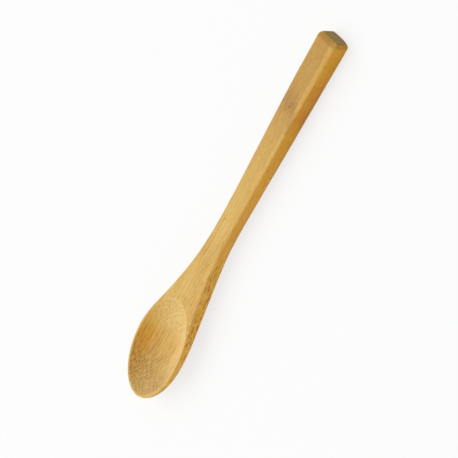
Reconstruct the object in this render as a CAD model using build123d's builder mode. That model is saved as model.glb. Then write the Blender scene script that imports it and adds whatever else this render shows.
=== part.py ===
from build123d import *
from math import acos, atan2, cos, radians, sin, sqrt, tan
import os

# A small straight bamboo spoon, carved from a blank of laths glued edge to edge.
# Millimetres. It lies on its back as on a table: +X runs from the bowl's tip to the handle's end, +Z is up.
# The origin is on the table, under the middle of its length.
# Stations are measured along the spoon from the bowl's tip, and depths down from its flat front.

# Outline, seen from the front
spoon_length = 140.0
bowl_width = 23.0
bowl_widest_station = 18.0
shoulder_station = 30.0
shoulder_width = 18.5
throat_station = 45.0
throat_width = 11.1
neck_station = 74.0
neck_width = 7.2
handle_end_width = 9.7

# The end is cut a little askew: the right corner reaches further than the left one
end_skew = 1.4

# Depth of the back below the front, along the middle. From the tip it drops at the nose's angle
tip_wall = 1.6
nose_angle = 43.0
keel_station = 18.0
keel_depth = 6.9
shoulder_depth = 6.3
back_throat_station = 53.0
throat_depth = 5.0
neck_depth = 4.95
handle_end_depth = 6.1

# Depth of the sides, where the back's round meets them at the bowl's widest and at the handle's end
bowl_side_depth = 1.65
handle_end_side_depth = 4.95

# Hollow of the bowl, an oval in the flat front, and the rims left around it
hollow_depth = 4.8
tip_rim = 1.15
side_rim = 1.0
shoulder_rim = 1.7

# Eased edges
front_edge_bevel = 0.35
hollow_edge_radius = 0.3
back_edge_bevel = 0.35
end_front_bevel = 1.4
end_bevel = 0.5

# Two small flats on the back, where the spoon was sanded to lie steady
rest_flat_depth = 0.09

# Laths and the glue between them
glue_thickness = 0.1
edge_stripe_width = 2.45
left_lath_clearance = 0.3
right_lath_width = 1.55

# How far cutting shapes run past the wood, at the tip's nose and elsewhere
nose_lead = 2.0
overrun = 1.0

# Lying on the table, the spoon touches under the keel and at the end of the handle's back
rest_station = spoon_length - end_bevel
rest_tilt = atan2(keel_depth - handle_end_depth, rest_station - keel_station)
tip_height = rest_station * sin(rest_tilt) + handle_end_depth * cos(rest_tilt) - rest_flat_depth
along = Vector(cos(rest_tilt), 0, -sin(rest_tilt))
outward = Vector(sin(rest_tilt), 0, cos(rest_tilt))
tip = Vector(-(spoon_length + end_skew / 2) / 2, 0, tip_height)
front = Plane(origin=tip, x_dir=along, z_dir=outward)
side_view = Plane(origin=tip, x_dir=along, z_dir=(0, -1, 0))


def round_over(width, rise):
    """The radius of an arc that rises this much over this width."""
    return ((width / 2) ** 2 + rise**2) / (2 * rise)


# The back is turned about a sloping axis above the front
keel_axis_height = round_over(bowl_width, keel_depth - bowl_side_depth) - keel_depth
end_axis_height = round_over(handle_end_width, handle_end_depth - handle_end_side_depth) - handle_end_depth
axis_slope = (end_axis_height - keel_axis_height) / (spoon_length - keel_station)
back_axis = Axis(
    origin=tip + along * keel_station + outward * keel_axis_height,
    direction=along + outward * axis_slope,
)
turning = Plane(origin=back_axis.position, x_dir=back_axis.direction, z_dir=(0, -1, 0))
nose_slope = tan(radians(nose_angle))


def turned_over(station, depth):
    """A point of the back's middle line, turned half a round to the far side of the back's axis."""
    point = turning.to_local_coords(tip + along * station - outward * depth)
    return Vector(point.X, -point.Y)


# The hollow's oval is as long as leaves its rim at the shoulder
hollow_width = bowl_width - 2 * side_rim
shoulder_share = (shoulder_width - 2 * shoulder_rim) / hollow_width
hollow_half_length = (shoulder_station - tip_rim) / (1 + sqrt(1 - shoulder_share**2))
hollow_station = tip_rim + hollow_half_length

# The hollow is a cap of an oval solid turned about an axis above the front
hollow_radius = round_over(hollow_width, hollow_depth)
hollow_lift = hollow_radius - hollow_depth
hollow_reach = hollow_half_length * hollow_radius / (hollow_width / 2)
hollow_axis = Axis(origin=tip + outward * hollow_lift, direction=along)

# The hollow's edge is eased by a flat that starts and ends where a round of the edge's radius would
hollow_wall_angle = acos(hollow_lift / hollow_radius)
hollow_edge_flat = hollow_edge_radius * tan(hollow_wall_angle / 2)

# Faces of the glue lines, as distances to the left of the middle
core_glue_right = edge_stripe_width - handle_end_width / 2
core_glue_left = core_glue_right + glue_thickness
left_glue_right = handle_end_width / 2 + left_lath_clearance
left_glue_left = left_glue_right + glue_thickness
right_glue_right = right_lath_width - bowl_width / 2
right_glue_left = right_glue_right + glue_thickness

os.makedirs("parts", exist_ok=True)

# The whole spoon as carved, before it is taken apart into laths
with BuildPart() as carved_spoon:
    with BuildSketch(front):
        with BuildLine():
            EllipticalCenterArc(
                (bowl_widest_station, 0), bowl_widest_station, bowl_width / 2, start_angle=90, arc_size=90
            )
            flank = Spline(
                (bowl_widest_station, bowl_width / 2),
                (shoulder_station, shoulder_width / 2),
                (throat_station, throat_width / 2),
                (neck_station, neck_width / 2),
                tangents=[(1, 0), (spoon_length - neck_station, (handle_end_width - neck_width) / 2)],
            )
            mirror(about=Plane.XZ)
            Polyline(
                flank @ 1,
                (spoon_length - end_skew / 2, handle_end_width / 2),
                (spoon_length + end_skew / 2, -handle_end_width / 2),
                (neck_station, -neck_width / 2),
            )
        make_face()
    extrude(amount=-(keel_depth + overrun))
    with BuildSketch(turning):
        with BuildLine():
            back_line = Spline(
                turned_over(-nose_lead, tip_wall - nose_lead * nose_slope),
                turned_over(keel_station, keel_depth),
                turned_over(shoulder_station, shoulder_depth),
                turned_over(back_throat_station, throat_depth),
                turned_over(neck_station, neck_depth),
                tangents=[
                    turned_over(1, nose_slope) - turned_over(0, 0),
                    turned_over(spoon_length, handle_end_depth) - turned_over(neck_station, neck_depth),
                ],
            )
            tail = turned_over(spoon_length, handle_end_depth) + (back_line % 1) * (end_skew + overrun)
            Polyline(back_line @ 1, tail, (tail.X, 0), ((back_line @ 0).X, 0), back_line @ 0)
        make_face()
    revolve(axis=back_axis, mode=Mode.INTERSECT)
    end_face = carved_spoon.faces().filter_by(GeomType.PLANE).sort_by(Axis.X)[-1]
    end_front_edge = end_face.edges().sort_by(Axis.Z)[-1]
    chamfer(end_front_edge, length=end_front_bevel)
    end_face = carved_spoon.faces().filter_by(GeomType.PLANE).sort_by(Axis.X)[-1]
    chamfer(end_face.edges().sort_by(Axis.Z)[:-1], length=end_bevel)
    back_face = carved_spoon.faces().filter_by(GeomType.REVOLUTION)[0]
    chamfer(back_face.edges().sort_by(Axis.X)[:-1], length=back_edge_bevel)
    front_face = carved_spoon.faces().filter_by(GeomType.PLANE).sort_by(SortBy.AREA)[-1]
    chamfer(front_face.edges(), length=front_edge_bevel)
    with BuildSketch(side_view):
        with BuildLine():
            EllipticalCenterArc(
                (hollow_station, hollow_lift), hollow_reach, hollow_radius, start_angle=0, arc_size=180
            )
            Line((hollow_station - hollow_reach, hollow_lift), (hollow_station + hollow_reach, hollow_lift))
        make_face()
    revolve(axis=hollow_axis, mode=Mode.SUBTRACT)
    front_face = carved_spoon.faces().filter_by(GeomType.PLANE).sort_by(SortBy.AREA)[-1]
    chamfer(front_face.inner_wires()[0].edges(), length=hollow_edge_flat)
    split(bisect_by=Plane.XY, keep=Keep.TOP)


def keep_between(right_face, left_face):
    """Cuts the piece being built down to the slab between two upright planes along the spoon."""
    with Locations((0, (right_face + left_face) / 2, 0)):
        Box(
            spoon_length + end_skew + overrun,
            left_face - right_face,
            tip_height + overrun,
            align=(Align.CENTER, Align.CENTER, Align.MIN),
            mode=Mode.INTERSECT,
        )


# The short lath that makes the left of the bowl
with BuildPart() as left_bowl_lath:
    add(carved_spoon.part)
    keep_between(left_glue_left, bowl_width)
left_bowl_lath.part.label = "left_bowl_lath"
export_step(left_bowl_lath.part, "parts/left_bowl_lath.step")

# The glue between the left of the bowl and the core
with BuildPart() as left_glue_line:
    add(carved_spoon.part)
    keep_between(left_glue_right, left_glue_left)
left_glue_line.part.label = "left_glue_line"
export_step(left_glue_line.part, "parts/left_glue_line.step")

# The long lath under the middle of the bowl and most of the handle
with BuildPart() as core_lath:
    add(carved_spoon.part)
    keep_between(core_glue_left, left_glue_right)
core_lath.part.label = "core_lath"
export_step(core_lath.part, "parts/core_lath.step")

# The glue between the core and the edge lath, along the whole spoon
with BuildPart() as core_glue_line:
    add(carved_spoon.part)
    keep_between(core_glue_right, core_glue_left)
core_glue_line.part.label = "core_glue_line"
export_step(core_glue_line.part, "parts/core_glue_line.step")

# The long lath along the handle's right edge, which goes on into the right of the bowl
with BuildPart() as edge_lath:
    add(carved_spoon.part)
    keep_between(right_glue_left, core_glue_right)
edge_lath.part.label = "edge_lath"
export_step(edge_lath.part, "parts/edge_lath.step")

# The glue under the crescent at the right of the bowl
with BuildPart() as right_glue_line:
    add(carved_spoon.part)
    keep_between(right_glue_right, right_glue_left)
right_glue_line.part.label = "right_glue_line"
export_step(right_glue_line.part, "parts/right_glue_line.step")

# The narrow crescent of the last lath, at the right of the bowl
with BuildPart() as right_bowl_lath:
    add(carved_spoon.part)
    keep_between(-bowl_width, right_glue_right)
right_bowl_lath.part.label = "right_bowl_lath"
export_step(right_bowl_lath.part, "parts/right_bowl_lath.step")
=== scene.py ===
import math
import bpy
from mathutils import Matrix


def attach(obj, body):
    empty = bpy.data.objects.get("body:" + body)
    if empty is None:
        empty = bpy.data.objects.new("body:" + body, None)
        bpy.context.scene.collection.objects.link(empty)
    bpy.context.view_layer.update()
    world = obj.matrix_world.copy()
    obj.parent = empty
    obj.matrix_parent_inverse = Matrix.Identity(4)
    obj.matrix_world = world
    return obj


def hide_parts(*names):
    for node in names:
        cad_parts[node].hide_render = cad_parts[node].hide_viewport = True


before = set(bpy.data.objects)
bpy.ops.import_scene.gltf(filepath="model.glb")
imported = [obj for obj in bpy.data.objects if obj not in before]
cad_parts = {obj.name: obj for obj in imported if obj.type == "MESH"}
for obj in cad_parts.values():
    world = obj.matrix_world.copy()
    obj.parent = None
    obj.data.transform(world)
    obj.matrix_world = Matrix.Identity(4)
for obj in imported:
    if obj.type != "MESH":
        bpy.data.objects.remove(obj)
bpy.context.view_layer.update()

from types import SimpleNamespace

import bmesh
import bpy
from mathutils import Matrix, Vector, noise

# A small bamboo spoon that lies on its back on a pale table.
# The scene is in metres. Lengths below that end in _MM, and all texture coordinates, are in millimetres.
# Stations are measured along the spoon from the bowl's tip, and depths down from its flat front.
MM = 0.001

# Where the spoon is in the frame: its tip on the flat front, and how far its front leans to the handle's end
TIP_MM = Vector((-70.35, 0.0, 6.928))
LEAN = math.radians(0.377)
ALONG = Vector((math.cos(LEAN), 0.0, -math.sin(LEAN)))
OUTWARD = Vector((math.sin(LEAN), 0.0, math.cos(LEAN)))
TABLE_MM = 0.0

# Faces of the glue lines, to the left of the middle, and a distance that is beyond all wood
CORE_GLUE_MM = (-2.4, -2.3)
LEFT_GLUE_MM = (5.15, 5.25)
RIGHT_GLUE_MM = (-9.95, -9.85)
BEYOND_MM = 30.0


def srgb(red, green, blue):
    """A colour written in 0 to 255, as the linear values that shaders take."""
    linear = []
    for value in (red, green, blue):
        share = value / 255
        linear.append(share / 12.92 if share <= 0.04045 else ((share + 0.055) / 1.055) ** 2.4)
    return (*linear, 1.0)


def station_mm(station):
    """The X coordinate of a station."""
    return TIP_MM.x + station * ALONG.x


def from_spoon(along, left, outward):
    """A direction along the spoon, to its left and out of its front, in the frame's axes."""
    return ALONG * along + Vector((0, left, 0)) + OUTWARD * outward


# The carved body

# The skin's faces are about this large, and its points this near to a cut count as lying on it
VOXEL_MM = 0.21
SNAP_MM = 0.002

# How much and how often the arrises are softened all over
SOFTENING = 0.5
SOFTENING_ROUNDS = 4

# The handle is sanded rounder than the bowl: from each of these stations on, it is softened once more
HANDLE_SANDING_STATIONS = (34, 37, 40, 44, 50)

# The corner between the handle's end and its right side is planed off
CORNER_STATION = 139.4
CORNER_LEFT_MM = -4.85
CORNER_FACING = (0.756, -0.655, 0.0)

# Unevenness left by hand work
HAND_WAVE_MM = 0.035
HAND_WAVE_LENGTH_MM = 9.0

# What the sanding takes off the handle is given back, but not underneath, and its left side is a little full
HANDLE_FULLNESS_MM = 0.08
HANDLE_FULL_STATIONS = (34, 48)
LEFT_FULLNESS_MM = 0.24
LEFT_FULL_STATIONS = (44, 60, 118, 140)

# The front dips a little at the neck, and the dip fades out this deep
NECK_DIP_MM = 0.4
NECK_DIP_STATIONS = (36, 62, 78, 112)
NECK_DIP_DEPTH_MM = 3.2

# At the handle's end the back is fuller to the left: where along the spoon and how deep this sets in,
# and how far from the middle it is full
BACK_FULLNESS_MM = 0.7
BACK_FULL_STATIONS = (108, 138)
BACK_FULL_DEPTH_MM = (2.8, 4.6)
BACK_FULL_LEFT_MM = 4.3


def smooth_step(value, low, high):
    """From 0 at low to 1 at high, without corners."""
    share = min(max((value - low) / (high - low), 0.0), 1.0)
    return share * share * (3 - 2 * share)


def swell(station, rise_from, rise_to, fall_from, fall_to):
    """A smooth rise from 0 to 1 along the spoon, and the fall back to 0."""
    return smooth_step(station, rise_from, rise_to) - smooth_step(station, fall_from, fall_to)


def hand_shaping(vert):
    """How far a point of the skin is moved: by uneven carving, fullness and the neck's dip."""
    from_tip = vert.co - TIP_MM
    station = from_tip.dot(ALONG)
    depth = -from_tip.dot(OUTWARD)
    out = HANDLE_FULLNESS_MM * smooth_step(station, *HANDLE_FULL_STATIONS)
    out += LEFT_FULLNESS_MM * swell(station, *LEFT_FULL_STATIONS) * max(vert.normal.y, 0.0)
    out *= 1 - max(-vert.normal.z, 0.0)
    out += HAND_WAVE_MM * noise.noise(vert.co / HAND_WAVE_LENGTH_MM)
    near_front = 1 - smooth_step(depth, 0.0, NECK_DIP_DEPTH_MM)
    down = NECK_DIP_MM * swell(station, *NECK_DIP_STATIONS) * near_front
    to_left = min(max(vert.co.y / BACK_FULL_LEFT_MM, 0.0), 1.0)
    near_back = smooth_step(station, *BACK_FULL_STATIONS) * smooth_step(depth, *BACK_FULL_DEPTH_MM)
    down += BACK_FULLNESS_MM * near_back * to_left**2
    return vert.normal * out - OUTWARD * down


def even_mesh():
    """The solids joined into one mesh of even faces, in millimetres, with softened arrises."""
    joined = bmesh.new()
    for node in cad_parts.values():
        joined.from_mesh(node.data)
    bmesh.ops.transform(joined, matrix=Matrix.Scale(1 / MM, 4), verts=joined.verts)
    mesh = bpy.data.meshes.new("carved")
    joined.to_mesh(mesh)
    joined.free()
    carved = bpy.data.objects.new("carved", mesh)
    bpy.context.scene.collection.objects.link(carved)
    even = carved.modifiers.new("even", "REMESH")
    even.mode = "VOXEL"
    even.voxel_size = VOXEL_MM
    soften = carved.modifiers.new("soften", "SMOOTH")
    soften.factor = SOFTENING
    soften.iterations = SOFTENING_ROUNDS
    graph = bpy.context.evaluated_depsgraph_get()
    skin = bpy.data.meshes.new_from_object(carved.evaluated_get(graph))
    bpy.data.objects.remove(carved)
    bpy.data.meshes.remove(mesh)
    return skin


def keep_largest(mesh):
    """Deletes every island of the mesh but the largest, which is the outer skin."""
    mesh.verts.ensure_lookup_table()
    seen = set()
    islands = []
    for first in mesh.verts:
        if first.index in seen:
            continue
        seen.add(first.index)
        island, queue = [], [first]
        while queue:
            vert = queue.pop()
            island.append(vert)
            for edge in vert.link_edges:
                other = edge.other_vert(vert)
                if other.index not in seen:
                    seen.add(other.index)
                    queue.append(other)
        islands.append(island)
    islands.sort(key=len)
    for island in islands[:-1]:
        bmesh.ops.delete(mesh, geom=island, context="VERTS")


def carved_skin():
    """The whole spoon as one mesh in millimetres, with its corner planed off and shaped by hand."""
    skin = even_mesh()
    shaped = bmesh.new()
    shaped.from_mesh(skin)
    keep_largest(shaped)
    corner = TIP_MM + from_spoon(CORNER_STATION, CORNER_LEFT_MM, 0)
    facing = from_spoon(*CORNER_FACING).normalized()
    for vert in shaped.verts:
        beyond = (vert.co - corner).dot(facing)
        if beyond > 0:
            vert.co -= facing * beyond
    for station in HANDLE_SANDING_STATIONS:
        handle = [vert for vert in shaped.verts if vert.co.x > station_mm(station)]
        bmesh.ops.smooth_vert(
            shaped, verts=handle, factor=SOFTENING, use_axis_x=True, use_axis_y=True, use_axis_z=True
        )
    shaped.normal_update()
    moves = [hand_shaping(vert) for vert in shaped.verts]
    for vert, move in zip(shaped.verts, moves):
        vert.co += move
        vert.co.z = max(vert.co.z, TABLE_MM)
    shaped.to_mesh(skin)
    shaped.free()
    return skin


def cut_piece(skin, name, right_face, left_face):
    """The part of the skin between two upright planes along the spoon, closed where it was cut."""
    piece = bmesh.new()
    piece.from_mesh(skin)
    for face in piece.faces:
        face.smooth = True
    for place, outward in ((right_face, -1), (left_face, 1)):
        if abs(place) >= BEYOND_MM:
            continue
        cut = bmesh.ops.bisect_plane(
            piece,
            geom=piece.verts[:] + piece.edges[:] + piece.faces[:],
            dist=SNAP_MM,
            plane_co=(0, place, 0),
            plane_no=(0, outward, 0),
            clear_outer=True,
        )
        rim = [part for part in cut["geom_cut"] if isinstance(part, bmesh.types.BMEdge)]
        filled = bmesh.ops.holes_fill(piece, edges=rim, sides=0)
        for face in filled["faces"]:
            face.smooth = False
        for edge in rim:
            if edge.is_valid:
                edge.smooth = False
        bmesh.ops.triangulate(piece, faces=filled["faces"])
    bmesh.ops.transform(piece, matrix=Matrix.Scale(MM, 4), verts=piece.verts)
    bmesh.ops.recalc_face_normals(piece, faces=piece.faces)
    mesh = bpy.data.meshes.new(name)
    piece.to_mesh(mesh)
    piece.free()
    made = bpy.data.objects.new(name, mesh)
    bpy.context.scene.collection.objects.link(made)
    return made


# Materials

# Tones of the laths: pale, deep, and towards the handle's end
CORE_TONES = (srgb(224, 184, 95), srgb(204, 153, 66), srgb(168, 115, 24))
# The edge laths are lighter towards the handle's end: partly their own tone, partly a painted highlight along
# the handle's right arris
EDGE_TONES = (srgb(226, 184, 96), srgb(210, 158, 66), srgb(197, 146, 30))

# The grain is shifted so that it does not run on from lath to lath. Two laths have a growth node: its station
# and its strength
CORE_SHIFT_MM = (0, 0, 0)
LEFT_SHIFT_MM = (31, 4.3, 2.1)
EDGE_SHIFT_MM = (-47, 7.7, 5.2)
RIGHT_SHIFT_MM = (73, 2.9, 8.4)
CORE_NODE = (113.8, 0.42)
EDGE_NODE = (110, 0.35)

# Tones of the wood by the way it was cut, of what shows in it, and of painted light and shade
NODE_WOOD = srgb(156, 102, 50)
PIT_WOOD = srgb(95, 60, 25)
LOWER_SIDE_WOOD = srgb(234, 166, 42)
UPPER_SIDE_WOOD = srgb(227, 158, 9)
SIDE_NODE_WOOD = srgb(206, 104, 2)
# Painted shade: a deeper amber for the hollow's left wall, which turns from the key light
SHADED_WALL_WOOD = srgb(236, 166, 4)
# A dark brown for the sides towards the table, also used as painted shade
UNDER_SIDE_WOOD = srgb(158, 96, 18)
END_WOOD = srgb(114, 94, 30)
BUNDLE_WOOD = srgb(150, 98, 30)
# The flanks' amber, also used as painted light on the upper part of the hollow's left wall
FLANK_WOOD_AND_LIGHT = srgb(247, 189, 68)
DASH_WOOD = srgb(164, 99, 2)
# Pale wood between the bundles, also used as painted light and painted glints
PALE_WOOD_AND_HIGHLIGHT = srgb(232, 208, 150)
DULL_WOOD = srgb(162, 118, 38)
FLECK_WOOD = srgb(120, 78, 28)
PALE_GLUE = srgb(206, 160, 86)
DEEP_GLUE = srgb(182, 128, 56)

# Gloss and relief
IOR = 1.5
WOOD_SPECULAR = 0.25
WOOD_BUMP = 0.35
WOOD_BUMP_MM = 0.05
GRAIN_HEIGHT = 0.4
GLUE_BUMP = 0.2
GLUE_BUMP_MM = 0.03

# Sizes of the patterns: along the fibres, and in both directions across them
BEND_MM = (40, 12, 12)
BEND_REACH_MM = (0.0, 1.8, 1.8)
FADE_MM = (4, 0.8, 0.8)
GRAIN_MM = (7, 0.2, 0.2)
SPECKLE_MM = (1.6, 0.3, 0.3)
FLECK_MM = (7, 1.3, 1.3)
TONE_MM = (22, 4, 4)
NODE_WARP_MM = (5, 2.5, 2.5)
NODE_REACH_MM = 9.0
PIT_MM = (1.5, 1.2, 1.2)
GLUE_TONE_MM = (3, 1, 1)

# How fine the patterns are within those sizes
SOFT_DETAIL = 1.0
MIDDLE_DETAIL = 2.0
FINE_DETAIL = 3.0
DETAIL_ROUGHNESS = 0.5
MIDDLE_GREY = (0.5, 0.5, 0.5)

# Spacing of the fibre bundles: as streaks, as the dashes of the flanks and as the dots of the hollow
STREAK_SPACING_MM = 0.66
DASH_SPACING_MM = 0.74
DOT_SPACING_MM = 0.46

# Smooth steps are written as where they start and end, and as their values there if these are not 0 and 1.
# These are steps of the patterns
MOOD_STEP = (0.0, 1.0, 0.4, 1.0)
FADE_STEP = (0.36, 0.6, 0.2, 1.0)
BUNDLE_STEP = (0.38, 0.12)
BETWEEN_STEP = (0.42, 0.7)
BETWEEN_FADE_STEP = (0.6, 0.36, 0.3, 1.0)
DASH_STEP = (0.5, 0.2)
DASH_MOOD_STEP = (0.1, 0.5, 0.3, 0.78)
DASH_SPECKLE_STEP = (0.36, 0.56, 0.3, 1.0)
DOT_STEP = (0.42, 0.15)
LIGHT_DOT_STEP = (0.36, 0.6)
FLECK_STEP = (0.24, 0.1)
FLECK_CHOICE_STEP = (0.5, 0.75)
TONE_STEP = (0.3, 0.7, 0.0, 0.45)
GRAIN_STEP = (0.35, 0.7, 0.0, 0.3)
DARK_SPECKLE_STEP = (0.5, 0.75, 0.0, 0.24)
PALE_SPECKLE_STEP = (0.5, 0.25, 0.0, 0.2)
NODE_BAND_STEP = (6.5, 0.5)
PIT_STEP = (0.28, 0.14)
WOOD_ROUGHNESS_STEP = (0.2, 0.8, 0.48, 0.62)
GLUE_TONE_STEP = (0.3, 0.7)
GLUE_ROUGHNESS_STEP = (0.2, 0.8, 0.3, 0.45)

# Steps of the share of a face's normal that points to one side
RIGHT_SIDE_STEP = (0.6, 0.95)
LEFT_SIDE_STEP = (0.55, 0.95, 0.0, 0.5)
CUT_ACROSS_STEP = (0.03, 0.12)
UPRIGHT_STEP = (0.7, 0.9)
TO_TIP_STEP = (-0.02, -0.26)
TO_LEFT_STEP = (0.05, 0.5)
TO_HANDLE_STEP = (0.02, 0.36)
END_STEP = (0.7, 0.97)
CORNER_END_STEP = (0.4, 0.65)
CORNER_SIDE_STEP = (0.42, 0.85)
WALL_STEP = (0.12, 0.6)
LEFT_WALL_STEP = (-0.12, 0.1)
UPPER_WALL_STEP = (0.1, -0.15)
STEEP_STEP = (0.3, 0.55, 1.0, 0.5)

# Steps along the spoon, as stations and values, and up from the table
FLANK_STATIONS = (85, 68)
BOWL_STATIONS = (36, 30)
UPPER_STATIONS = (70, 122)
SMOOTHER_STATIONS = (55, 95, 1.0, 0.3)
UNDER_STATIONS = (45, 95, 0.2, 0.5)
TO_NODE_STATIONS = (104, 115)
FROM_NODE_STATIONS = (130, 120)
UNDER_HEIGHT_STEP_MM = (5.0, 1.8)
UNDER_TONE_STEP = (0.3, 0.65, 0.15, 0.5)

# Shares of one tone in another, and gains of such shares. Pairs are for outside a place and inside it
UPPER_SHARE = 0.6
PIT_GAIN = 2.0
LEFT_WALL_SIDE_SHADE_SHARE = 0.95
SIDE_NODE_SHARE = 0.3
UNDER_NODE_GAINS = (1.0, 2.6)
SIDE_SHARE = 0.85
CORNER_SHADE_SHARE = 0.4
LEFT_WALL_SHADE_SHARE = 0.18
END_SHARE = 0.85
END_DOT_SHARE = 0.45
UPPER_WALL_LIGHT_SHARE = 0.45
GLINT_DOT_SHARES = (0.08, 1.0)
TO_LEFT_LIGHT_SHARE = 0.43
FLANK_SHARE = 0.6
BOWL_STREAK_SHARES = (0.5, 0.64)
TIP_WALL_STREAK_SHARES = (1.0, 0.45)
SIDE_STREAK_SHARES = (1.0, 0.5)
BETWEEN_SHARE = 0.3
TO_LEFT_DULL_SHARES = (0.32, 0.52)
DOT_SHARE = 0.46
LIGHT_DOT_SHARE = 0.28
FLECK_SHARE = 0.45


# Rays by which a thing is seen: directly, mirrored or through something clear
SEEN_RAYS = ("Is Camera Ray", "Is Glossy Ray", "Is Transmission Ray")


class Graph:
    """The node tree of a material or of the room, with short ways to add linked nodes."""

    def __init__(self, owner):
        self.owner = owner
        owner.use_nodes = True
        self.tree = owner.node_tree
        self.tree.nodes.clear()

    def feed(self, socket, value):
        """Links what comes from another node, or sets a plain value."""
        if isinstance(value, bpy.types.NodeSocket):
            self.tree.links.new(value, socket)
        else:
            socket.default_value = value

    def add(self, kind, settings, inputs):
        """A new node. Its inputs are given by name or number."""
        node = self.tree.nodes.new(kind)
        for name, value in settings.items():
            setattr(node, name, value)
        for name, value in inputs.items():
            self.feed(node.inputs[name], value)
        return node

    def math(self, operation, first, second=0.0):
        return self.add("ShaderNodeMath", {"operation": operation}, {0: first, 1: second}).outputs[0]

    def product(self, first, *others):
        for other in others:
            first = self.math("MULTIPLY", first, other)
        return first

    def vector(self, operation, first, second):
        return self.add("ShaderNodeVectorMath", {"operation": operation}, {0: first, 1: second}).outputs[0]

    def scaled(self, place, sizes):
        """The place in units of these sizes."""
        return self.vector("MULTIPLY", place, tuple(1 / size for size in sizes))

    def split(self, vector):
        return self.add("ShaderNodeSeparateXYZ", {}, {0: vector}).outputs

    def colour_part(self, colour, part):
        return self.add("ShaderNodeSeparateColor", {}, {0: colour}).outputs[part]

    def ramp(self, value, low, high, start=0.0, end=1.0):
        """A smooth step of the value from start at low to end at high."""
        inputs = {"Value": value, "From Min": low, "From Max": high, "To Min": start, "To Max": end}
        node = self.add("ShaderNodeMapRange", {"interpolation_type": "SMOOTHSTEP"}, inputs)
        return node.outputs["Result"]

    def along(self, x_mm, low, high, start=0.0, end=1.0):
        """A smooth step along the spoon, between two stations."""
        return self.ramp(x_mm, station_mm(low), station_mm(high), start, end)

    def blend(self, mask, outside, inside):
        """A value that changes smoothly with a mask."""
        return self.ramp(mask, 0.0, 1.0, outside, inside)

    def noise(self, place, detail):
        inputs = {"Vector": place, "Scale": 1.0, "Detail": detail, "Roughness": DETAIL_ROUGHNESS}
        return self.add("ShaderNodeTexNoise", {"noise_dimensions": "3D"}, inputs).outputs

    def cells(self, place):
        settings = {"voronoi_dimensions": "3D"}
        return self.add("ShaderNodeTexVoronoi", settings, {"Vector": place, "Scale": 1.0}).outputs

    def bundles(self, across, spacing):
        """Cells across the fibres, each of which runs on along them."""
        settings = {"voronoi_dimensions": "2D"}
        return self.add("ShaderNodeTexVoronoi", settings, {"Vector": across, "Scale": 1 / spacing}).outputs

    def mix(self, share, first, second):
        """The first colour with a share of the second in it. Their sockets are 6 and 7."""
        return self.add("ShaderNodeMix", {"data_type": "RGBA"}, {0: share, 6: first, 7: second}).outputs[2]

    def bump(self, strength, depth_mm, height):
        inputs = {"Strength": strength, "Distance": depth_mm * MM, "Height": height}
        return self.add("ShaderNodeBump", {}, inputs).outputs[0]

    def place_mm(self):
        """The place on the piece in millimetres, and the way that its face points."""
        coords = self.add("ShaderNodeTexCoord", {}, {}).outputs
        return self.scaled(coords["Object"], (MM, MM, MM)), coords["Normal"]

    def seen(self):
        """1 where a thing is seen, and 0 where it only throws light on others."""
        paths = self.add("ShaderNodeLightPath", {}, {}).outputs
        first, *others = SEEN_RAYS
        seen = paths[first]
        for ray in others:
            seen = self.math("MAXIMUM", seen, paths[ray])
        return seen

    def finish(self, kind, inputs, output="ShaderNodeOutputMaterial"):
        """Ends the tree with a shader, and gives the material or the room."""
        shader = self.add(kind, {}, inputs)
        self.add(output, {}, {0: shader.outputs[0]})
        return self.owner


def fibre_patterns(g, place):
    """What the fibres show, before it is known how they were cut: they run along X and wander a little."""
    bend = g.noise(g.scaled(place, BEND_MM), SOFT_DETAIL)["Color"]
    bend = g.vector("SUBTRACT", bend, MIDDLE_GREY)
    grown = g.vector("ADD", place, g.vector("MULTIPLY", bend, BEND_REACH_MM))
    _, left, up = g.split(grown)
    across = g.add("ShaderNodeCombineXYZ", {}, {0: left, 1: up}).outputs[0]
    show = SimpleNamespace()

    # Fine grain and speckle
    show.grain = g.noise(g.scaled(grown, GRAIN_MM), FINE_DETAIL)[0]
    show.speckle = g.noise(g.scaled(grown, SPECKLE_MM), MIDDLE_DETAIL)[0]

    # Fibre bundles that come and go, and the pale wood between them
    cells = g.bundles(across, STREAK_SPACING_MM)
    mood = g.colour_part(cells["Color"], 0)
    fade = g.noise(g.scaled(grown, FADE_MM), SOFT_DETAIL)[0]
    strong = g.product(g.ramp(mood, *MOOD_STEP), g.ramp(fade, *FADE_STEP))
    show.bundle = g.product(g.ramp(cells["Distance"], *BUNDLE_STEP), strong)
    show.between = g.product(g.ramp(cells["Distance"], *BETWEEN_STEP), g.ramp(fade, *BETWEEN_FADE_STEP))

    # Coarser bundles for the dashes of the flanks, and finer ones for the dots of the hollow
    cells = g.bundles(across, DASH_SPACING_MM)
    mood = g.colour_part(cells["Color"], 0)
    show.dash = g.product(
        g.ramp(cells["Distance"], *DASH_STEP),
        g.ramp(mood, *DASH_MOOD_STEP),
        g.ramp(show.speckle, *DASH_SPECKLE_STEP),
    )
    cells = g.bundles(across, DOT_SPACING_MM)
    show.dots = g.ramp(cells["Distance"], *DOT_STEP)
    show.light_dots = g.ramp(cells["Distance"], *LIGHT_DOT_STEP)

    # A few short dark flecks
    cells = g.cells(g.scaled(grown, FLECK_MM))
    chosen = g.ramp(g.colour_part(cells["Color"], 1), *FLECK_CHOICE_STEP)
    show.fleck = g.product(g.ramp(cells["Distance"], *FLECK_STEP), chosen)
    return show


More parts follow.
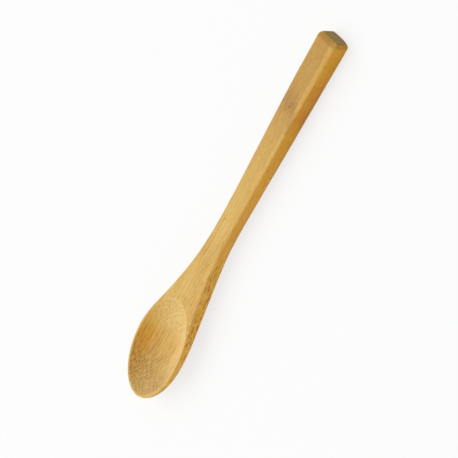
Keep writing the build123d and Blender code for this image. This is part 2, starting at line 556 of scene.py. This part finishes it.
def cut_faces(g, normal, x_mm):
    """Masks by the way a face points: how the wood was cut along its sides, across the fibres, in the hollow
    or at the sawn end, and whether it turns to or from the key light.
    """
    to_end, leftward, _ = g.split(normal)
    rightward = g.product(leftward, -1.0)
    cut = SimpleNamespace(in_bowl=g.along(x_mm, *BOWL_STATIONS))

    # Steep faces to the left and right, and where they cut across the fibres at the bowl's flanks
    upright = g.ramp(g.math("ABSOLUTE", leftward), *UPRIGHT_STEP)
    level = g.math("SUBTRACT", 1.0, upright)
    cut_across = g.ramp(g.math("ABSOLUTE", to_end), *CUT_ACROSS_STEP)
    cut.flank = g.product(upright, cut_across, g.along(x_mm, *FLANK_STATIONS))

    # The other faces, by the way they lean
    cut.to_tip = g.product(g.ramp(to_end, *TO_TIP_STEP), level)
    cut.to_left = g.product(g.ramp(leftward, *TO_LEFT_STEP), level)
    cut.to_handle = g.product(g.ramp(to_end, *TO_HANDLE_STEP), level)
    cut.not_steep = g.ramp(to_end, *STEEP_STEP)
    cut.end = g.ramp(to_end, *END_STEP)
    cut.corner = g.product(g.ramp(to_end, *CORNER_END_STEP), g.ramp(rightward, *CORNER_SIDE_STEP))

    # The hollow's left wall, towards the tip and towards the handle, and its wall at the tip
    wall = g.product(g.ramp(rightward, *WALL_STEP), level, cut.in_bowl)
    cut.left_wall = g.product(wall, g.ramp(to_end, *LEFT_WALL_STEP))
    cut.upper_wall = g.product(wall, g.ramp(to_end, *UPPER_WALL_STEP))
    cut.tip_wall = g.product(cut.to_handle, cut.in_bowl)

    # The amber of the sides shows on the right, less on the left, and on the hollow's left wall near the tip.
    # On the right and on that wall, which turn from the key light, it is partly painted shade
    cut.right_side = g.ramp(rightward, *RIGHT_SIDE_STEP)
    side = g.math("MAXIMUM", cut.right_side, g.ramp(leftward, *LEFT_SIDE_STEP))
    side = g.math("MAXIMUM", side, cut.corner)
    cut.side = g.math("MAXIMUM", side, g.product(cut.left_wall, LEFT_WALL_SIDE_SHADE_SHARE))
    return cut


def growth_node(g, colour, place, x_mm, station, strength):
    """The colour with a growth node in it: a darker, clouded band across the fibres with small dark pits."""
    warp = g.noise(g.scaled(place, NODE_WARP_MM), MIDDLE_DETAIL)[0]
    from_node = g.math("ADD", x_mm, g.product(warp, NODE_REACH_MM))
    from_node = g.math("SUBTRACT", from_node, station_mm(station) + NODE_REACH_MM / 2)
    band = g.product(g.ramp(g.math("ABSOLUTE", from_node), *NODE_BAND_STEP), strength)
    colour = g.mix(band, colour, NODE_WOOD)
    pits = g.ramp(g.cells(g.scaled(place, PIT_MM))["Distance"], *PIT_STEP)
    pits = g.product(pits, g.math("MINIMUM", g.product(band, PIT_GAIN), 1.0))
    return g.mix(pits, colour, PIT_WOOD)


def bamboo(name, tones, shift, node=None):
    """Oiled bamboo with darker fibre bundles along X, which show as streaks, dashes or dots by the cut. Faces
    turned from the key light get painted shade, and some faces turned to it painted light.
    """
    pale, deep, upper_wood = tones
    g = Graph(bpy.data.materials.new(name))
    place, normal = g.place_mm()
    x_mm, _, z_mm = g.split(place)
    place = g.vector("ADD", place, shift)
    show = fibre_patterns(g, place)
    cut = cut_faces(g, normal, x_mm)

    # Slow changes of tone along the wood, which is smoother and deeper towards the handle's end
    tone = g.noise(g.scaled(place, TONE_MM), MIDDLE_DETAIL)[0]
    upper = g.along(x_mm, *UPPER_STATIONS)
    smoother = g.along(x_mm, *SMOOTHER_STATIONS)
    colour = g.mix(g.ramp(tone, *TONE_STEP), pale, deep)
    colour = g.mix(g.product(upper, UPPER_SHARE), colour, upper_wood)
    colour = g.mix(g.ramp(show.grain, *GRAIN_STEP), colour, deep)
    if node:
        colour = growth_node(g, colour, place, x_mm, *node)

    # The cut sides are a deeper amber, browner underneath and near the growth nodes. On the hollow's left
    # wall the deeper amber is painted shade, and the browning underneath is partly painted shade
    side_wood = g.mix(upper, LOWER_SIDE_WOOD, UPPER_SIDE_WOOD)
    # Painted shade: a deeper amber on the hollow's left wall
    side_wood = g.mix(cut.left_wall, side_wood, SHADED_WALL_WOOD)
    near_node = g.product(g.along(x_mm, *TO_NODE_STATIONS), g.along(x_mm, *FROM_NODE_STATIONS))
    side_wood = g.mix(g.product(near_node, SIDE_NODE_SHARE), side_wood, SIDE_NODE_WOOD)
    # Browner towards the table, in patches and more near the growth node: partly painted shade along the
    # lower sides, partly a deeper tone
    under = g.product(
        g.ramp(z_mm, *UNDER_HEIGHT_STEP_MM),
        g.ramp(tone, *UNDER_TONE_STEP),
        g.along(x_mm, *UNDER_STATIONS),
        g.blend(near_node, *UNDER_NODE_GAINS),
    )
    side_wood = g.mix(under, side_wood, UNDER_SIDE_WOOD)
    # The amber of the cut sides; on faces to the right and on the hollow's left wall it is partly painted
    # shade
    colour = g.mix(g.product(cut.side, SIDE_SHARE), colour, side_wood)
    # Painted shade: the hollow's left wall and the planed corner at the handle's end, which face away from
    # the key light, are darkened
    painted_shade = g.product(cut.left_wall, LEFT_WALL_SHADE_SHARE)
    painted_shade = g.math("MAXIMUM", g.product(cut.corner, CORNER_SHADE_SHARE), painted_shade)
    colour = g.mix(painted_shade, colour, UNDER_SIDE_WOOD)

    # The sawn end is a grey green with dots. The upper part of the hollow's left wall is lightened with
    # painted light, and the faces to the tip and to the left, which turn to the key light, are paler: painted
    # light, with painted glints on the fibre ends of the faces to the tip
    colour = g.mix(g.product(cut.end, END_SHARE), colour, END_WOOD)
    colour = g.mix(g.product(show.bundle, cut.end, END_DOT_SHARE), colour, FLECK_WOOD)
    # Painted light on the upper part of the hollow's left wall
    colour = g.mix(g.product(cut.upper_wall, UPPER_WALL_LIGHT_SHARE), colour, FLANK_WOOD_AND_LIGHT)
    # Painted light on faces turned to the key light, with painted glints on the fibre ends of the faces to
    # the tip
    painted_light = g.product(cut.to_tip, g.blend(show.dots, *GLINT_DOT_SHARES))
    painted_light = g.math("MAXIMUM", painted_light, g.product(cut.to_left, TO_LEFT_LIGHT_SHARE))
    colour = g.mix(painted_light, colour, PALE_WOOD_AND_HIGHLIGHT)
    colour = g.mix(g.product(cut.flank, FLANK_SHARE), colour, FLANK_WOOD_AND_LIGHT)

    # Faint streaks along the faces, and pale wood between them
    streak = g.product(
        show.bundle,
        g.product(smoother, g.blend(cut.in_bowl, *BOWL_STREAK_SHARES)),
        g.math("SUBTRACT", 1.0, cut.to_tip),
        g.blend(cut.tip_wall, *TIP_WALL_STREAK_SHARES),
        g.blend(cut.right_side, *SIDE_STREAK_SHARES),
    )
    colour = g.mix(streak, colour, BUNDLE_WOOD)
    colour = g.mix(g.product(show.between, g.product(smoother, BETWEEN_SHARE)), colour, PALE_WOOD_AND_HIGHLIGHT)

    # The hollow is duller towards the tip, with dots there
    dull = g.product(cut.to_handle, g.blend(cut.to_left, *TO_LEFT_DULL_SHARES), cut.not_steep)
    colour = g.mix(dull, colour, DULL_WOOD)
    colour = g.mix(g.product(show.dots, cut.tip_wall, DOT_SHARE), colour, BUNDLE_WOOD)
    colour = g.mix(g.product(show.light_dots, cut.tip_wall, LIGHT_DOT_SHARE), colour, PALE_WOOD_AND_HIGHLIGHT)

    # Dark dashes on the flanks of the bowl, flecks and speckle
    colour = g.mix(g.product(show.dash, cut.flank), colour, DASH_WOOD)
    colour = g.mix(g.product(show.fleck, g.product(smoother, FLECK_SHARE)), colour, FLECK_WOOD)
    colour = g.mix(g.ramp(show.speckle, *DARK_SPECKLE_STEP), colour, BUNDLE_WOOD)
    colour = g.mix(g.ramp(show.speckle, *PALE_SPECKLE_STEP), colour, PALE_WOOD_AND_HIGHLIGHT)

    pores = g.math("ADD", show.bundle, show.fleck)
    height = g.math("SUBTRACT", g.product(show.grain, GRAIN_HEIGHT), pores)
    return g.finish("ShaderNodeBsdfPrincipled", {
        "Base Color": colour,
        "Roughness": g.ramp(show.grain, *WOOD_ROUGHNESS_STEP),
        "Normal": g.bump(WOOD_BUMP, WOOD_BUMP_MM, height),
        "IOR": IOR,
        "Specular IOR Level": WOOD_SPECULAR,
    })


def glue(name):
    """Cured glue, flush with the wood, a little darker and glossier than it."""
    g = Graph(bpy.data.materials.new(name))
    place, _ = g.place_mm()
    tone = g.noise(g.scaled(place, GLUE_TONE_MM), FINE_DETAIL)[0]
    return g.finish("ShaderNodeBsdfPrincipled", {
        "Base Color": g.mix(g.ramp(tone, *GLUE_TONE_STEP), PALE_GLUE, DEEP_GLUE),
        "Roughness": g.ramp(tone, *GLUE_ROUGHNESS_STEP),
        "Normal": g.bump(GLUE_BUMP, GLUE_BUMP_MM, tone),
        "IOR": IOR,
    })


skin = carved_skin()
core_bamboo = bamboo("core_bamboo", CORE_TONES, CORE_SHIFT_MM, CORE_NODE)
left_bamboo = bamboo("left_bamboo", CORE_TONES, LEFT_SHIFT_MM)
edge_bamboo = bamboo("edge_bamboo", EDGE_TONES, EDGE_SHIFT_MM, EDGE_NODE)
right_bamboo = bamboo("right_bamboo", EDGE_TONES, RIGHT_SHIFT_MM)
cured_glue = glue("cured_glue")

for node, right_face, left_face, material, slot in (
    ("left_bowl_lath", LEFT_GLUE_MM[1], BEYOND_MM, left_bamboo, "bamboo"),
    ("left_glue_line", LEFT_GLUE_MM[0], LEFT_GLUE_MM[1], cured_glue, "glue"),
    ("core_lath", CORE_GLUE_MM[1], LEFT_GLUE_MM[0], core_bamboo, "bamboo"),
    ("core_glue_line", CORE_GLUE_MM[0], CORE_GLUE_MM[1], cured_glue, "glue"),
    ("edge_lath", RIGHT_GLUE_MM[1], CORE_GLUE_MM[0], edge_bamboo, "light_bamboo"),
    ("right_glue_line", RIGHT_GLUE_MM[0], RIGHT_GLUE_MM[1], cured_glue, "glue"),
    ("right_bowl_lath", -BEYOND_MM, RIGHT_GLUE_MM[0], right_bamboo, "light_bamboo"),
):
    piece = cut_piece(skin, node + "_carved", right_face, left_face)
    piece.data.materials.append(material)
    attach(piece, "root")
    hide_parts(node)
bpy.data.meshes.remove(skin)


# Stage

FLOOR_HALF = 6.0
FLOOR_GREY = (0.93, 0.93, 0.93, 1.0)
WHITE = (1, 1, 1, 1)

# Where the floor is seen, it is lifted towards white by this much
FLOOR_LIFT = 0.75


def floor_material():
    """A pale floor that keeps the shadow."""
    g = Graph(bpy.data.materials.new("floor"))
    lift = g.product(g.seen(), FLOOR_LIFT)
    pale = g.add("ShaderNodeBsdfDiffuse", {}, {"Color": FLOOR_GREY}).outputs[0]
    white = g.add("ShaderNodeEmission", {}, {"Color": WHITE, "Strength": 1.0}).outputs[0]
    return g.finish("ShaderNodeMixShader", {0: lift, 1: pale, 2: white})


floor_mesh = bpy.data.meshes.new("floor")
corners = [(-1, -1), (1, -1), (1, 1), (-1, 1)]
floor_mesh.from_pydata([(x * FLOOR_HALF, y * FLOOR_HALF, 0) for x, y in corners], [], [(0, 1, 2, 3)])
floor = bpy.data.objects.new("floor", floor_mesh)
floor.data.materials.append(floor_material())
bpy.context.scene.collection.objects.link(floor)

# Light: a large soft key from the picture's left, and an even white room that lights less than it shows

ROOM_SEEN = 1.0
ROOM_LIGHT = 0.56
KEY_FROM = Vector((-0.42, 0.47, 0.78))
KEY_DISTANCE = 3.0
KEY_SIZE = 5.0
KEY_POWER = 80.0

room = Graph(bpy.data.worlds.new("room"))
room_strength = room.blend(room.seen(), ROOM_LIGHT, ROOM_SEEN)
bpy.context.scene.world = room.finish(
    "ShaderNodeBackground", {"Color": WHITE, "Strength": room_strength}, "ShaderNodeOutputWorld"
)

key_data = bpy.data.lights.new("key", "AREA")
key_data.shape = "DISK"
key_data.size = KEY_SIZE
key_data.energy = KEY_POWER
key = bpy.data.objects.new("key", key_data)
key.location = KEY_FROM.normalized() * KEY_DISTANCE
key.rotation_euler = KEY_FROM.to_track_quat("Z", "Y").to_euler()
bpy.context.scene.collection.objects.link(key)

# Camera, far off with a long lens, at the photograph's viewing angle
# The picture's right and up are written in the spoon's directions

PICTURE_RIGHT = (0.4225, -0.4683, -0.776)
PICTURE_UP = (0.7641, 0.6445, 0.0271)
AIM_STATION = 66.9
AIM_LEFT_MM = -2.42
CAMERA_DISTANCE = 6.0
SENSOR_MM = 36.0
FRAME_WIDTH = 0.13854
CLIP_NEAR = 0.1
CLIP_FAR = 100.0

right = from_spoon(*PICTURE_RIGHT).normalized()
up = from_spoon(*PICTURE_UP).normalized()
back = right.cross(up).normalized()
aim = (TIP_MM + from_spoon(AIM_STATION, AIM_LEFT_MM, 0)) * MM
spot = aim + back * CAMERA_DISTANCE
camera_data = bpy.data.cameras.new("camera")
camera_data.sensor_width = SENSOR_MM
camera_data.lens = SENSOR_MM * CAMERA_DISTANCE / FRAME_WIDTH
camera_data.clip_start = CLIP_NEAR
camera_data.clip_end = CLIP_FAR
camera = bpy.data.objects.new("camera", camera_data)
camera.matrix_world = Matrix((
    (right.x, up.x, back.x, spot.x),
    (right.y, up.y, back.y, spot.y),
    (right.z, up.z, back.z, spot.z),
    (0, 0, 0, 1),
))
bpy.context.scene.collection.objects.link(camera)
bpy.context.scene.camera = camera
bpy.context.scene.view_settings.view_transform = "Standard"
